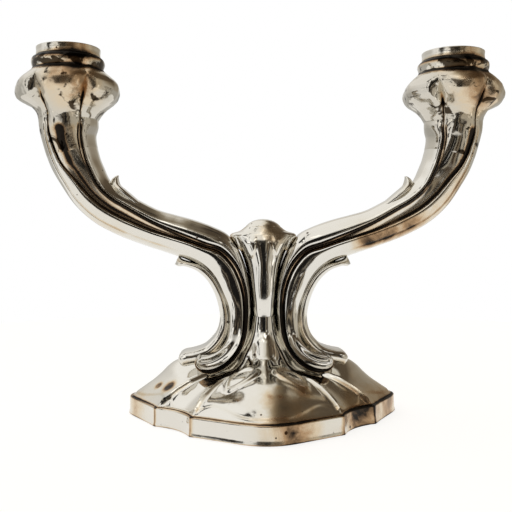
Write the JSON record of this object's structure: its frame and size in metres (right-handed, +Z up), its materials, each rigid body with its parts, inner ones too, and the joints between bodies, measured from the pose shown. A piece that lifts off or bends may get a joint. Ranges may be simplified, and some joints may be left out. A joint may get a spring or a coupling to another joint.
{
  "type": "two-light candelabrum",
  "caption": "Low candelabrum of silvered sheet: S-curved fluted arms with lobed sockets rise from a waisted column on a lobed, weighted foot; nozzles lift out.",
  "frame": {"origin": "centre of the underside of the foot, where the object rests", "axes": "+Z up; the two arms lie along X; -Y is the front"},
  "size_m": [0.252, 0.1302, 0.1871],
  "materials": {
    "silver_plate": "polished, lightly aged silver plate",
    "worn_plate": "polished silver plate with amber tarnish",
    "brass": "satin, unplated",
    "steel": "plain",
    "ballast_iron": "rough casting",
    "felt": "pressed wool felt"
  },
  "bodies": {
    "stand": {"foot_dome": "silver_plate", "foot_rim": "worn_plate", "base_plate": "steel", "ballast": "ballast_iron", "felt_pad": "felt", "tie_rod": "steel", "tie_rod_washer": "steel", "tie_rod_nut": "brass", "column_front": "silver_plate", "column_back": "silver_plate", "column_cap": "silver_plate", "left_arm_front": "silver_plate", "left_arm_back": "silver_plate", "left_upper_leaf": "silver_plate", "left_lower_leaf": "silver_plate", "left_scroll_foot": "silver_plate", "left_calyx": "worn_plate", "left_collar": "silver_plate", "left_liner": "brass", "left_ferrule": "brass", "left_socket_screw": "steel", "right_arm_front": "silver_plate", "right_arm_back": "silver_plate", "right_upper_leaf": "silver_plate", "right_lower_leaf": "silver_plate", "right_scroll_foot": "silver_plate", "right_calyx": "worn_plate", "right_collar": "silver_plate", "right_liner": "brass", "right_ferrule": "brass", "right_socket_screw": "steel"},
    "left_cup": {"left_nozzle": "worn_plate"},
    "right_cup": {"right_nozzle": "worn_plate"}
  },
  "joints": [
    {"name": "left_nozzle_lift", "type": "slide", "parent": "stand", "child": "left_cup", "axis": [0, 0, 1], "range_m": [0, 0.026]},
    {"name": "right_nozzle_lift", "type": "slide", "parent": "stand", "child": "right_cup", "axis": [0, 0, 1], "range_m": [0, 0.026]}
  ]
}
